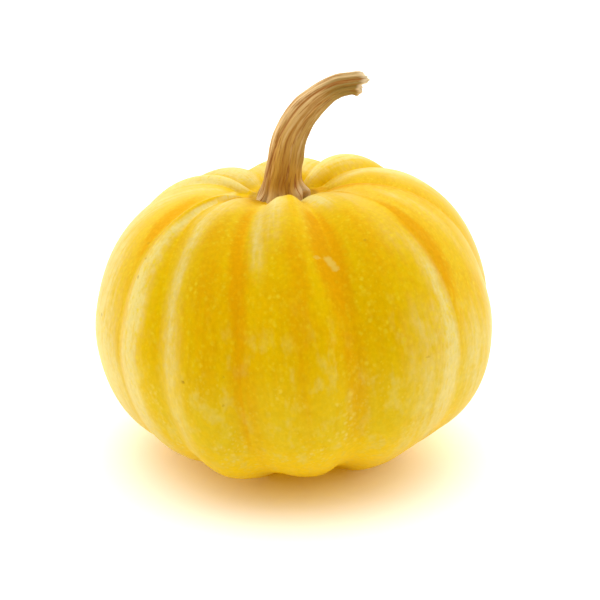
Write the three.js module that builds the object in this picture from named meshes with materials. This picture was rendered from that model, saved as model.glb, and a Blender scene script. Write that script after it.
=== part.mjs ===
// A small ribbed pumpkin, as picked, with its dry curving stem. Millimetres, +Z up.
// The origin is the middle of the fruit's footprint, on the surface that it rests on.
// Azimuths are in degrees from the front (-Y) towards the right (+X).

import * as THREE from "three";

// Driving dimensions of the fruit.

// The outline of a rib's crest, from the edge of the stem's seat over the shoulder and the waist to the
// blossom scar underneath: control points of a B-spline, each [distance from the axis, height].
const PROFILE = [
  [8, 66], [11.5, 68.4], [19, 71.5], [34.5, 69], [47, 57.5], [52.5, 42],
  [53, 32.5], [48, 11.5], [23, -1], [15.5, -1.5], [7.5, 3], [2, 3.5],
];
const FURROW_DEPTH = 2.25;
const OVAL = 0.025; // share by which the fruit is longer and narrower than round
const OVAL_AZIMUTH = 12;
const LEAN = THREE.MathUtils.degToRad(4.7); // the fruit's axis leans to the left of its foot
const LEAN_START = 9; // below this height the lean fades out, so that the feet stand level
const FOOT_WEAR = 0.6; // how much of the lowest rib feet is pressed flat

// Each rib starts at a furrow and ends at the next one. drift turns the furrow's upper end, and groove is
// the furrow's own depth as a share of FURROW_DEPTH. swell is how full the rib's crest is at the crown, the
// shoulder, the waist and the foot, and dip is a faint hollow along the crest.
const RIBS = [
  { furrow: -12, drift: -1.5, groove: 0.65, swell: [1.3, 1.1, 0.9, 0.8], dip: 0.1 },
  { furrow: 17, drift: 0, groove: 1.1, swell: [0.95, 1, 1.05, 0.85], dip: 0.1 },
  { furrow: 50, drift: -2, groove: 0.4, swell: [0.7, 0.25, 1.25, 0.45], dip: 0 },
  { furrow: 84.5, drift: -5.5, groove: 1, swell: [0.7, 1, 0.5, 0.8], dip: 0.1 },
  { furrow: 129, drift: -3, groove: 1.25, swell: [1.35, 1.2, 1, 1], dip: 0 },
  { furrow: 156.5, drift: -1, groove: 1.1, swell: [0.9, 0.95, 1, 1], dip: 0.1 },
  { furrow: 200.5, drift: 0, groove: 1.25, swell: [0.65, 0.75, 0.9, 1], dip: 0 },
  { furrow: 232, drift: 0.5, groove: 1, swell: [1, 0.45, 0.95, 1], dip: 0 },
  { furrow: 251.5, drift: 0, groove: 0.65, swell: [0.4, 0.5, 0.95, 0.6], dip: 0.1 },
  { furrow: 304, drift: 0.5, groove: 0.7, swell: [1, 0.95, 0.65, 1.05], dip: 0 },
  { furrow: 323, drift: -13.5, groove: 0.7, swell: [1, 1.05, 1.6, 1.2], dip: 0 },
];
const DIP_WIDTH = 0.25; // half width of the faint hollow, as a share of the rib's half width

// Where along the profile, from 0 at the seat to 1 at the scar, the furrows fade in and out and their
// drift ends.
const CROWN_FADE = 0.08;
const FOOT_FADE = 0.1;
const DRIFT_FROM = 0.12;
const DRIFT_TO = 0.42;

// Driving dimensions of the stem, in its own frame: its foot's middle is the origin, and it leans with
// the fruit.
const STEM_LINE = [
  [0, 0], [0, 2.6], [1.2, 8.9], [3, 14.6], [6.3, 19.9], [10.6, 23.7], [15.5, 26.3], [21.3, 26.7],
]; // points of the centre line, each [towards the right, up]
const STEM_RADII = [4.4, 4.4, 4.25, 3.95, 3.5, 2.9, 2.8]; // from foot to tip
const STEM_RIDGES = 5;
const RIDGE_HEIGHT = 0.09; // share of the radius
const RIDGE_TWIST = THREE.MathUtils.degToRad(50); // turn of the ridges from foot to tip
const RIDGE_START = THREE.MathUtils.degToRad(20);
const FLARE = 2.4; // how far the foot spreads past the shaft
const FLARE_HEIGHT = 3.5;
const LOBE = 0.2; // share by which the foot's lobes reach past its hollows
const TORN = 1; // how far the torn tip's lips stand past its hollows
const PITH = 1.2; // depth of the hollow in the tip
const SEAT_GAP = 0.3;

// Steps of the two meshes.
const RIB_STEPS = 6;
const PROFILE_STEPS = 42;
const STEM_SIDES = 30;
const STEM_STEPS = 26;

// A closed body from rings of points, lowest ring first, each ring anticlockwise seen from above. A fan
// closes each end around a middle point.
function bodyFromRings(rings, lowMiddle, highMiddle) {
  const sides = rings[0].length;
  const points = [...rings.flat(), lowMiddle, highMiddle];
  const low = points.length - 2;
  const high = points.length - 1;
  const last = (rings.length - 1) * sides;
  const faces = [];
  for (let side = 0; side < sides; side++) {
    const next = (side + 1) % sides;
    faces.push(low, next, side);
    faces.push(high, last + side, last + next);
    for (let ring = 0; ring < last; ring += sides) {
      faces.push(ring + side, ring + next, ring + sides + next);
      faces.push(ring + side, ring + sides + next, ring + sides + side);
    }
  }
  const body = new THREE.BufferGeometry().setFromPoints(points);
  body.setIndex(faces);
  body.computeVertexNormals();
  return body;
}

// A point of the uniform cubic B-spline that starts and ends at its first and last control points.
function splinePoint(controls, share) {
  const end = controls.length - 1;
  const before = controls[0].map((value, axis) => 2 * value - controls[1][axis]);
  const after = controls[end].map((value, axis) => 2 * value - controls[end - 1][axis]);
  const all = [before, ...controls, after];
  const step = Math.min(Math.floor(share * end), end - 1);
  const u = share * end - step;
  const weights = [(1 - u) ** 3, 3 * u ** 3 - 6 * u ** 2 + 4, -3 * u ** 3 + 3 * u ** 2 + 3 * u + 1, u ** 3];
  return controls[0].map((_, axis) =>
    weights.reduce((sum, weight, i) => sum + (weight * all[step + i][axis]) / 6, 0),
  );
}

// The crest's outline at a share of its length, with the direction that points out of the fruit.
function crest(share) {
  const small = 1e-3;
  const [radius, height] = splinePoint(PROFILE, share);
  const from = splinePoint(PROFILE, Math.max(share - small, 0));
  const to = splinePoint(PROFILE, Math.min(share + small, 1));
  const out = new THREE.Vector2(from[1] - to[1], to[0] - from[0]).normalize();
  return { radius, height, out };
}

// The swell at the crown holds as far as the rim, and each of the others over its own stretch.
function swellAt([crown, shoulder, waist, foot], share) {
  const held = [crown, crown, crown, shoulder, shoulder, waist, waist, foot, foot, foot];
  return splinePoint(held.map((swell) => [swell]), share)[0];
}

// A point of the skin: share runs down the profile, and across runs from -1 to 1 over the rib.
function skinPoint(rib, nextRib, across, share) {
  const { lerp, degToRad, smoothstep } = THREE.MathUtils;
  const { radius, height, out } = crest(share);
  const drift = 1 - smoothstep(share, DRIFT_FROM, DRIFT_TO);
  const turn = nextRib.furrow < rib.furrow ? 360 : 0;
  const start = rib.furrow + rib.drift * drift;
  const end = nextRib.furrow + nextRib.drift * drift + turn;
  const along = (across + 1) / 2;
  const azimuth = degToRad(lerp(start, end, along));
  const groove = lerp(rib.groove, nextRib.groove, along);
  const bulge = 1 - across ** 2 - rib.dip * Math.exp(-((across / DIP_WIDTH) ** 2));
  const fade = smoothstep(share, 0, CROWN_FADE) * smoothstep(1 - share, 0, FOOT_FADE);
  const lift = FURROW_DEPTH * fade * (bulge * (swellAt(rib.swell, share) + groove - 1) - groove);
  const oval = 1 + OVAL * Math.cos(2 * (azimuth - degToRad(OVAL_AZIMUTH)));
  const reach = (radius + out.x * lift) * oval;
  return leaned(reach * Math.sin(azimuth), -reach * Math.cos(azimuth), height + out.y * lift);
}

// The growing shape leans over to the left, but its feet stand level and are pressed flat.
function leaned(x, y, z) {
  const angle = LEAN * THREE.MathUtils.smoothstep(z, 0, LEAN_START);
  const height = x * Math.sin(angle) + z * Math.cos(angle) + FOOT_WEAR;
  return new THREE.Vector3(x * Math.cos(angle) - z * Math.sin(angle), y, Math.max(height, 0));
}

function fruitRing(share) {
  const ring = [];
  RIBS.forEach((rib, i) => {
    const nextRib = RIBS[(i + 1) % RIBS.length];
    for (let step = 0; step < RIB_STEPS; step++) {
      ring.push(skinPoint(rib, nextRib, (2 * step) / RIB_STEPS - 1, share));
    }
  });
  return ring;
}

function fruitBody() {
  const rings = [];
  for (let step = PROFILE_STEPS; step >= 0; step--) {
    rings.push(fruitRing(step / PROFILE_STEPS));
  }
  const scarHeight = PROFILE[PROFILE.length - 1][1];
  return bodyFromRings(rings, leaned(0, 0, scarHeight), leaned(0, 0, PROFILE[0][1]));
}

// The stem's cross-section: a lobed ring around a point of the centre line. At the foot it spreads, and
// at the torn tip its lips stand forward.
function stemRing(line, share) {
  const middle = line.getPointAt(share);
  const along = line.getTangentAt(share);
  const side = new THREE.Vector3(0, 1, 0);
  const up = new THREE.Vector3().crossVectors(side, along);
  const radius = splinePoint(STEM_RADII.map((value) => [value]), share)[0];
  const spread = Math.exp(-((share * line.getLength()) / FLARE_HEIGHT));
  const tearing = THREE.MathUtils.smoothstep(share, 0.94, 1);
  const ring = [];
  for (let step = 0; step < STEM_SIDES; step++) {
    const angle = (step / STEM_SIDES) * 2 * Math.PI;
    const ridge = Math.cos(STEM_RIDGES * (angle - RIDGE_START - RIDGE_TWIST * share));
    const reach = radius * (1 + RIDGE_HEIGHT * ridge) + FLARE * spread * (1 + LOBE * ridge);
    const lip = TORN * tearing * Math.cos(2 * angle + 1);
    ring.push(
      middle.clone()
        .addScaledVector(up, reach * Math.cos(angle))
        .addScaledVector(side, reach * Math.sin(angle))
        .addScaledVector(along, lip),
    );
  }
  return ring;
}

function stemBody() {
  const line = new THREE.CatmullRomCurve3(STEM_LINE.map(([right, up]) => new THREE.Vector3(right, 0, up)));
  const rings = [];
  for (let step = 0; step <= STEM_STEPS; step++) {
    rings.push(stemRing(line, step / STEM_STEPS));
  }
  const pith = line.getPointAt(1).addScaledVector(line.getTangentAt(1), -PITH);
  return bodyFromRings(rings, line.getPointAt(0), pith);
}

const skin = new THREE.MeshStandardMaterial({ color: 0xe3b41a, roughness: 0.42, metalness: 0 });
const bark = new THREE.MeshStandardMaterial({ color: 0xb98a4a, roughness: 0.8, metalness: 0 });

const fruit = new THREE.Mesh(fruitBody(), skin);
fruit.name = "fruit";

const stem = new THREE.Mesh(stemBody(), bark);
stem.name = "stem";
stem.position.z = SEAT_GAP;
const stemSeat = new THREE.Group();
stemSeat.position.copy(leaned(0, 0, PROFILE[0][1]));
stemSeat.rotation.y = -LEAN;
stemSeat.add(stem);

// The fruit is centred over the origin, and the stem goes with it.
const pumpkin = new THREE.Group();
pumpkin.name = "pumpkin";
pumpkin.add(fruit, stemSeat);
const middle = new THREE.Box3().setFromObject(fruit).getCenter(new THREE.Vector3());
pumpkin.position.set(-middle.x, -middle.y, 0);

export default pumpkin;
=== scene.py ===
"""A small ribbed pumpkin with its dry, curving stem.

The frame is the CAD model's: +Z up, and the front faces -Y. Lengths are in millimetres until a mesh is
made. Azimuths are in degrees from the front (-Y) towards the right (+X).
"""
import math

import bpy
import numpy as np
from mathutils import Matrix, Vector


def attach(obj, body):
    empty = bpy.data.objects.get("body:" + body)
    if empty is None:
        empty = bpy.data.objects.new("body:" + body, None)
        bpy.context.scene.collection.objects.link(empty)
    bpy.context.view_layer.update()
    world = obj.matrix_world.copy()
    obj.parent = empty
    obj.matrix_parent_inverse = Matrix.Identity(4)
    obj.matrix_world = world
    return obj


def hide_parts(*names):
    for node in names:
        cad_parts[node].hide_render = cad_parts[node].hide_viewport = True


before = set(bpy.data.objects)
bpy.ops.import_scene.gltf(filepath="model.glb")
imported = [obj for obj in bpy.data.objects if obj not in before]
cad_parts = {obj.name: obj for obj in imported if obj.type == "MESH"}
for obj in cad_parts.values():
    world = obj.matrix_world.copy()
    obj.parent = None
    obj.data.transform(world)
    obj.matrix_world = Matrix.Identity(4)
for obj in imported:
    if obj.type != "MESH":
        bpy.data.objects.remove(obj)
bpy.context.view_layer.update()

MM = 0.001

# ---- Driving dimensions: the size and shape are the CAD part's, with finer points ----

# The outline of a rib's crest from the stem's seat to the blossom scar: B-spline controls, each
# (distance from the axis, height).
PROFILE = [
    (8, 66), (11.5, 68.4), (19, 71.5), (34.5, 69), (47, 57.5), (52.5, 42),
    (53, 32.5), (48, 11.5), (23, -1), (15.5, -1.5), (7.5, 3), (2, 3.5),
]
FURROW_DEPTH = 2.25
OVAL = 0.025
OVAL_AZIMUTH = 12
LEAN = math.radians(4.7)
LEAN_START = 9
FOOT_WEAR = 0.6

# Each rib starts at a furrow and ends at the next one. drift turns the furrow's upper end, groove is its
# depth as a share of FURROW_DEPTH, and soft is how rounded its bottom is at the crown and at the waist.
# swell is how full the crest is at the crown, shoulder, waist and foot.
RIBS = {
    "front": dict(furrow=-12, drift=-1.5, groove=0.65, soft=(0.03, 0.4), swell=(1.3, 1.1, 0.9, 0.8)),
    "front_right": dict(furrow=17, drift=0, groove=1.1, soft=(0.03, 0.32), swell=(0.95, 1, 1.05, 0.85)),
    "right": dict(furrow=50, drift=-2, groove=0.4, soft=(0.02, 0.12), swell=(0.7, 0.25, 1.25, 0.45)),
    "right_back": dict(furrow=84.5, drift=-5.5, groove=1, soft=(0.02, 0.05), swell=(0.7, 1, 0.5, 0.8)),
    "back_right": dict(furrow=129, drift=-3, groove=1.25, soft=(0.02, 0.08), swell=(1.35, 1.2, 1, 1)),
    "back": dict(furrow=156.5, drift=-1, groove=1.1, soft=(0.02, 0.1), swell=(0.9, 0.95, 1, 1)),
    "back_left": dict(furrow=200.5, drift=0, groove=1.25, soft=(0.02, 0.08), swell=(0.65, 0.75, 0.9, 1)),
    "left_back": dict(furrow=232, drift=0.5, groove=1, soft=(0.02, 0.06), swell=(1, 0.45, 0.95, 1)),
    "left": dict(furrow=251.5, drift=0, groove=0.65, soft=(0.02, 0.2), swell=(0.4, 0.5, 0.95, 0.6)),
    "left_front": dict(furrow=304, drift=0.5, groove=0.7, soft=(0.02, 0.25), swell=(1, 0.95, 0.65, 1.05)),
    "front_left": dict(furrow=323, drift=-13.5, groove=0.7, soft=(0.02, 0.35), swell=(1, 1.05, 1.6, 1.2)),
}
NAMES = list(RIBS)
SOFT_CROWN = 0.06
SOFT_WAIST = 0.22

# A faint hollow runs down the crests of some ribs.
DIPPED = ("front", "front_right", "right_back", "back", "left")
DIP = 0.1
DIP_WIDTH = 0.25

# Shares down the fruit: the furrows fade out at both ends, and drift only near the crown.
CROWN_FADE = 0.08
FOOT_FADE = 0.1
DRIFT_FROM = 0.12
DRIFT_TO = 0.42

# Soft swellings besides the ribs: (azimuth, share down the fruit, half width in degrees, half length as a
# share, height in mm).
SWELLINGS = [(12, 0.17, 7, 0.05, 1)]

# The stem, in its own frame: its seat's middle is the origin, and it leans with the fruit. The line starts
# a little inside the fruit, and its last point lies past the stem's end, for the parts of the broken tip
# that reach further.
STEM_LINE = [(0, -0.6), (0.1, 2.9), (1.3, 9.2), (3, 14.9), (6.3, 20.2), (10.6, 24), (15.5, 26.6), (21.5, 27),
             (24.5, 26.6)]
STEM_LENGTH = 39.3
STEM_RADII = [4.5, 4.4, 4.25, 3.95, 3.5, 2.85, 2.65]

# ---- Shape helpers ----


def smoothstep(value, low, high):
    share = np.clip((value - low) / (high - low), 0, 1)
    return share * share * (3 - 2 * share)


def spline(controls, share):
    """The uniform cubic B-spline that starts and ends at its first and last controls."""
    controls = np.asarray(controls, float)
    controls = controls.reshape(len(controls), -1)
    before = 2 * controls[0] - controls[1]
    after = 2 * controls[-1] - controls[-2]
    every = np.vstack([before, controls, after])
    spans = len(every) - 3
    place = np.clip(share, 0, 1) * spans
    step = np.minimum(place.astype(int), spans - 1)
    u = (place - step)[..., None]
    weights = [(1 - u) ** 3, 3 * u**3 - 6 * u**2 + 4, -3 * u**3 + 3 * u**2 + 3 * u + 1, u**3]
    return sum(weight * every[step + i] for i, weight in enumerate(weights)) / 6


WAVE_LENGTHS = (0.7, 1.6)


def waves(points, size, height, seed, count=24):
    """Gentle lumps: a seeded sum of plane waves about size long and height high."""
    random = np.random.default_rng(seed)
    directions = random.normal(size=(count, 3))
    directions /= np.linalg.norm(directions, axis=1)[:, None]
    lengths = size * random.uniform(*WAVE_LENGTHS, count)
    phases = random.uniform(0, 2 * math.pi, count)
    total = sum(
        np.sin(points @ direction * (2 * math.pi / length) + phase)
        for direction, length, phase in zip(directions, lengths, phases)
    )
    return height * total / math.sqrt(count / 2)


def distances(line):
    """How far along the line each of its points is."""
    return np.concatenate([[0], np.cumsum(np.linalg.norm(np.diff(line, axis=0), axis=1))])


def wrapped(radius, turns, length):
    """Points on a tube, for noise that follows the surface wrapped round it."""
    parts = np.broadcast_arrays(radius * np.cos(turns), radius * np.sin(turns), length)
    return np.stack(parts, -1)


def crest(share):
    """The crest's outline, with the direction that points out of the fruit."""
    small = 1e-3
    outline = spline(PROFILE, share)
    step = spline(PROFILE, np.minimum(share + small, 1)) - spline(PROFILE, np.maximum(share - small, 0))
    step /= np.linalg.norm(step, axis=-1)[..., None]
    return outline[..., 0], outline[..., 1], -step[..., 1], step[..., 0]


def swell_at(rib, share):
    """How full the rib's crest is at each share down it."""
    crown, shoulder, waist, foot = rib["swell"]
    held = [crown] * 3 + [shoulder] * 2 + [waist] * 2 + [foot] * 3
    return spline(held, share)[..., 0]


def leaned(x, y, z):
    """The growing shape leans to the left, but its feet stand level and are pressed flat."""
    angle = LEAN * smoothstep(z, 0, LEAN_START)
    height = x * np.sin(angle) + z * np.cos(angle) + FOOT_WEAR
    return np.stack([x * np.cos(angle) - z * np.sin(angle), y, np.maximum(height, 0)], -1)


def on_axis(height):
    """Where a point of the fruit's axis comes when it leans."""
    return leaned(0, 0, height)


def skin_points(name, across, share):
    """Points of a rib's skin: across runs from -1 to 1 over the rib, share from 0 to 1 down it."""
    rib = RIBS[name]
    after = RIBS[NAMES[(NAMES.index(name) + 1) % len(NAMES)]]
    drift = 1 - smoothstep(share, DRIFT_FROM, DRIFT_TO)
    turn = 360 if after["furrow"] < rib["furrow"] else 0
    start = rib["furrow"] + rib["drift"] * drift
    end = after["furrow"] + after["drift"] * drift + turn
    along = (across + 1) / 2
    azimuth = np.radians(start + (end - start) * along)
    groove = rib["groove"] + (after["groove"] - rib["groove"]) * along
    waist = smoothstep(share, SOFT_CROWN, SOFT_WAIST)
    crown_soft = np.where(across < 0, rib["soft"][0], after["soft"][0])
    waist_soft = np.where(across < 0, rib["soft"][1], after["soft"][1])
    soft = crown_soft + (waist_soft - crown_soft) * waist
    edge = 1 - np.abs(across)
    rounded = (np.sqrt(edge**2 + soft**2) - soft) / (np.sqrt(1 + soft**2) - soft)
    dip = DIP if name in DIPPED else 0
    bulge = 2 * rounded - rounded**2 - dip * np.exp(-((across / DIP_WIDTH) ** 2))
    fade = smoothstep(share, 0, CROWN_FADE) * smoothstep(1 - share, 0, FOOT_FADE)
    lift = FURROW_DEPTH * fade * (bulge * (swell_at(rib, share) + groove - 1) - groove)
    for place, down, width, length, rise in SWELLINGS:
        away = ((np.degrees(azimuth) - place) / width) ** 2 + ((share - down) / length) ** 2
        lift = lift + rise * np.exp(-away)
    radius, height, out, up = crest(share)
    oval = 1 + OVAL * np.cos(2 * (azimuth - math.radians(OVAL_AZIMUTH)))
    reach = (radius + out * lift) * oval
    return leaned(reach * np.sin(azimuth), -reach * np.cos(azimuth), height + up * lift), azimuth


# ---- Mesh helpers ----


def mesh_object(name, points, faces, attributes=None):
    """A smooth mesh. An attribute has a number or a vector for each point."""
    mesh = bpy.data.meshes.new(name)
    mesh.from_pydata((np.asarray(points) * MM).tolist(), [], faces)
    mesh.validate()
    for key, values in (attributes or {}).items():
        values = np.asarray(values, dtype=np.float32)
        kind = "FLOAT" if values.ndim == 1 else "FLOAT_VECTOR"
        field = "value" if values.ndim == 1 else "vector"
        mesh.attributes.new(key, kind, "POINT").data.foreach_set(field, values.ravel())
    mesh.polygons.foreach_set("use_smooth", [True] * len(mesh.polygons))
    made = bpy.data.objects.new(name, mesh)
    bpy.context.collection.objects.link(made)
    return made


def closed_faces(rows, sides):
    """Quads between rings of points, and fans that close the first and the last ring.

    Seen from outside, with the next ring below, a ring's points run to the right. The fans meet at the two
    points that follow the rings.
    """
    faces = []
    for row in range(rows - 1):
        for side in range(sides):
            after = (side + 1) % sides
            here = row * sides
            below = here + sides
            faces.append((here + side, below + side, below + after, here + after))
    first_end = rows * sides
    last = first_end - sides
    for side in range(sides):
        after = (side + 1) % sides
        faces.append((first_end, side, after))
        faces.append((first_end + 1, last + after, last + side))
    return faces


def with_ends(fields):
    """The rings' fields in one row each, where the two end points have the first and the last value."""
    flat = {key: values.reshape(-1, *values.shape[2:]) for key, values in fields.items()}
    return {key: np.concatenate([values, values[[0, -1]]]) for key, values in flat.items()}


# ---- Material helpers ----


def feed(tree, socket, value):
    """Links the socket to another, or sets its value."""
    if isinstance(value, bpy.types.NodeSocket):
        tree.links.new(value, socket)
    else:
        socket.default_value = value


def add(tree, kind, inputs=None, **settings):
    """Adds a node and sets or links its inputs."""
    made = tree.nodes.new(kind)
    for name, value in settings.items():
        setattr(made, name, value)
    for key, value in (inputs or {}).items():
        feed(tree, made.inputs[key], value)
    return made


def math_node(tree, operation, *values):
    return add(tree, "ShaderNodeMath", dict(enumerate(values)), operation=operation).outputs[0]


def times(tree, first, second):
    return math_node(tree, "MULTIPLY", first, second)


def linear(tree, value, slope, offset):
    return math_node(tree, "MULTIPLY_ADD", value, slope, offset)


def vector_node(tree, operation, *values):
    return add(tree, "ShaderNodeVectorMath", dict(enumerate(values)), operation=operation).outputs[0]


def scaled(tree, vector, amount):
    inputs = {0: vector, "Scale": amount}
    return add(tree, "ShaderNodeVectorMath", inputs, operation="SCALE").outputs[0]


def ranged(tree, value, low, high, start=0, end=1):
    """Maps low..high to start..end with soft ends."""
    inputs = {"Value": value, "From Min": low, "From Max": high, "To Min": start, "To Max": end}
    return add(tree, "ShaderNodeMapRange", inputs, interpolation_type="SMOOTHSTEP").outputs[0]


def mixed(tree, share, first, second):
    """A colour mix: inputs 6 and 7 are its colours, each a socket or linear (red, green, blue)."""
    made = add(tree, "ShaderNodeMix", {0: share}, data_type="RGBA")
    for index, value in ((6, first), (7, second)):
        feed(tree, made.inputs[index], (*value, 1) if isinstance(value, tuple) else value)
    return made.outputs[2]


def attribute(tree, name, output="Fac"):
    return add(tree, "ShaderNodeAttribute", attribute_name=name).outputs[output]


def stretched(tree, vector, stretch):
    """The vector with its third part, the length along the surface, divided by the stretch."""
    return vector_node(tree, "MULTIPLY", vector, (1, 1, 1 / stretch))


def noise(tree, vector, size, stretch=1, detail=2, roughness=0.5):
    """Noise whose lumps are about size wide, and longer along the surface by the stretch."""
    place = stretched(tree, vector, stretch)
    inputs = {"Vector": place, "Scale": 1 / size, "Detail": detail, "Roughness": roughness}
    return add(tree, "ShaderNodeTexNoise", inputs).outputs["Fac"]


def wavering(tree, vector, size, amount):
    """The vector shifted by noise, so that round shapes come out uneven."""
    shift = add(tree, "ShaderNodeTexNoise", {"Vector": vector, "Scale": 1 / size}).outputs["Color"]
    centred = vector_node(tree, "SUBTRACT", shift, (0.5, 0.5, 0.5))
    return vector_node(tree, "ADD", vector, scaled(tree, centred, amount))


def bump(tree, shader, height, strength, distance):
    """Gives the shader's surface a fine relief. The distance is in metres."""
    made = add(tree, "ShaderNodeBump", {"Strength": strength, "Distance": distance, "Height": height})
    tree.links.new(made.outputs[0], shader.inputs["Normal"])


def new_material(name):
    material = bpy.data.materials.new(name)
    material.use_nodes = True
    tree = material.node_tree
    tree.nodes.clear()
    shader = add(tree, "ShaderNodeBsdfPrincipled")
    output = add(tree, "ShaderNodeOutputMaterial")
    tree.links.new(shader.outputs[0], output.inputs[0])
    return material, tree, shader


# ---- The fruit ----

RIB_COLUMNS = 36
SKIN_ROWS = 216
STREAK_RADIUS = 45

# Bands of colour that run down each rib. A band is a line of points (share, across, half width, strength):
# share runs down the rib from 0 to 1, and across from -1 to 1 over it.
# Orange runs down the furrows. The bands that spread over the crown close to the stem's seat are partly
# painted shade.
ORANGE_AND_SHADE_BANDS = {
    "front": [
        [(0.26, -1, 0.1, 0), (0.32, -1, 0.12, 0.8), (0.42, -0.98, 0.14, 0.6), (0.52, -0.94, 0.22, 0.45),
         (0.63, -0.92, 0.2, 0.3), (0.67, -1, 0.1, 0)],
        [(0.25, 0.12, 0.25, 0), (0.31, 0.12, 0.32, 0.6), (0.38, 0.08, 0.3, 0.6), (0.47, 0.08, 0.24, 0.4),
         (0.6, 0.05, 0.16, 0.2), (0.66, 0.05, 0.1, 0)],
        [(0.19, 0.85, 0.2, 0), (0.24, 0.85, 0.25, 0.9), (0.3, 0.76, 0.3, 1), (0.34, 0.8, 0.28, 1),
         (0.4, 0.92, 0.2, 0.75), (0.5, 0.98, 0.26, 0.5), (0.6, 0.98, 0.24, 0.4), (0.66, 1, 0.08, 0)],
    ],
    "front_right": [
        [(0.2, -1, 0.2, 0), (0.25, -0.9, 0.24, 0.9), (0.32, -0.92, 0.2, 1), (0.38, -0.98, 0.14, 0.7),
         (0.5, -0.96, 0.18, 0.45), (0.6, -0.96, 0.18, 0.35), (0.66, -1, 0.06, 0)],
        [(0.21, -0.4, 0.5, 0), (0.28, -0.3, 0.6, 0.4), (0.34, -0.15, 0.5, 0.4), (0.42, 0, 0.3, 0)],
        [(0.26, 1, 0.1, 0), (0.3, 0.97, 0.16, 0.8), (0.4, 1, 0.12, 0.8), (0.46, 1, 0.1, 0)],
        [(0.03, 0.6, 0.5, 0), (0.08, 0.55, 0.5, 0.9), (0.13, 0.6, 0.5, 1), (0.17, 0.85, 0.3, 0.9),
         (0.21, 1, 0.2, 0.5), (0.25, 1, 0.1, 0.3), (0.3, 1, 0.1, 0)],
    ],
    "right": [
        [(0.22, -1, 0.2, 0), (0.27, -0.95, 0.25, 0.9), (0.33, -0.88, 0.3, 1), (0.38, -0.9, 0.26, 0.9),
         (0.43, -0.97, 0.2, 0.3), (0.48, -1, 0.2, 0)],
        [(0.02, -0.8, 0.5, 0), (0.05, -0.6, 0.5, 0.9), (0.1, -0.3, 0.6, 1), (0.15, 0.1, 0.7, 1),
         (0.2, 0.5, 0.5, 0.8), (0.28, 0.85, 0.3, 0.5), (0.4, 1, 0.3, 0)],
    ],
    "right_back": [
        [(0, 0, 1.5, 0.7), (0.04, 0, 1.5, 0.7), (0.07, -0.6, 0.5, 0.5), (0.12, -1, 0.2, 0.6),
         (0.2, -1, 0.15, 0.4), (0.35, -1, 0.15, 0.4), (0.5, -1, 0.1, 0)],
        [(0.2, 1, 0.1, 0), (0.32, 0.95, 0.2, 0.9), (0.5, 0.97, 0.15, 1), (0.7, 1, 0.1, 0)],
    ],
    "back_right": [
        [(0.2, -1, 0.1, 0), (0.3, -0.95, 0.2, 0.9), (0.48, -0.97, 0.15, 1), (0.66, -1, 0.1, 0)],
        [(0.1, 0.9, 0.3, 0), (0.2, 0.8, 0.35, 0.7), (0.34, 0.9, 0.25, 1), (0.6, 1, 0.1, 0)],
    ],
    "back": [
        [(0.12, -0.9, 0.3, 0), (0.26, -0.9, 0.25, 0.8), (0.45, -0.97, 0.15, 1), (0.64, -1, 0.1, 0)],
        [(0.25, 0.2, 0.25, 0), (0.38, 0.15, 0.3, 0.5), (0.52, 0.1, 0.2, 0)],
        [(0.2, 1, 0.15, 0), (0.34, 0.92, 0.2, 1), (0.52, 0.97, 0.12, 0.9), (0.7, 1, 0.1, 0)],
    ],
    "back_left": [
        [(0.2, -1, 0.15, 0), (0.33, -0.94, 0.18, 0.9), (0.52, -0.97, 0.12, 1), (0.68, -1, 0.1, 0)],
        [(0.14, 0.9, 0.3, 0), (0.26, 0.82, 0.3, 0.8), (0.4, 0.95, 0.2, 0.9), (0.62, 1, 0.1, 0)],
    ],
    "left_back": [
        [(0.1, -0.9, 0.4, 0), (0.24, -0.85, 0.3, 0.8), (0.4, -0.95, 0.2, 0.9), (0.6, -1, 0.1, 0)],
        [(0.28, 1, 0.1, 0), (0.4, 0.95, 0.15, 0.7), (0.62, 1, 0.1, 0)],
    ],
    "left": [
        [(0, 0, 2, 0.6), (0.035, 0, 2, 0.5), (0.06, 0, 2, 0)],
        [(0.16, 0.4, 0.3, 0), (0.2, 0.55, 0.4, 0.5), (0.24, 0.75, 0.3, 0.9), (0.29, 0.86, 0.2, 1),
         (0.34, 0.97, 0.1, 0.5), (0.4, 1, 0.1, 0)],
    ],
    "left_front": [
        [(0, 0, 2, 0.7), (0.06, 0.3, 1, 0.6), (0.09, 0.7, 0.3, 0)],
        [(0.16, -0.2, 0.3, 0), (0.22, -0.2, 0.3, 0.5), (0.28, -0.4, 0.3, 0.4), (0.33, -0.6, 0.2, 0)],
    ],
    "front_left": [
        [(0.02, 0.6, 0.3, 0), (0.06, 0.5, 0.45, 1), (0.12, 0.45, 0.5, 1), (0.17, 0.5, 0.4, 0.6),
         (0.22, 0.6, 0.3, 0)],
        [(0.18, 0.8, 0.2, 0), (0.23, 0.8, 0.2, 0.8), (0.3, 0.84, 0.25, 1), (0.36, 0.88, 0.25, 1),
         (0.42, 0.94, 0.2, 0.7), (0.5, 0.96, 0.3, 0.65), (0.58, 1, 0.3, 0.5), (0.63, 1, 0.2, 0.2),
         (0.67, 1, 0.1, 0)],
        [(0.22, 0.2, 0.4, 0), (0.28, 0.3, 0.5, 0.45), (0.36, 0.3, 0.45, 0.5), (0.45, 0.3, 0.4, 0.35),
         (0.56, 0.5, 0.3, 0)],
    ],
}
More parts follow.
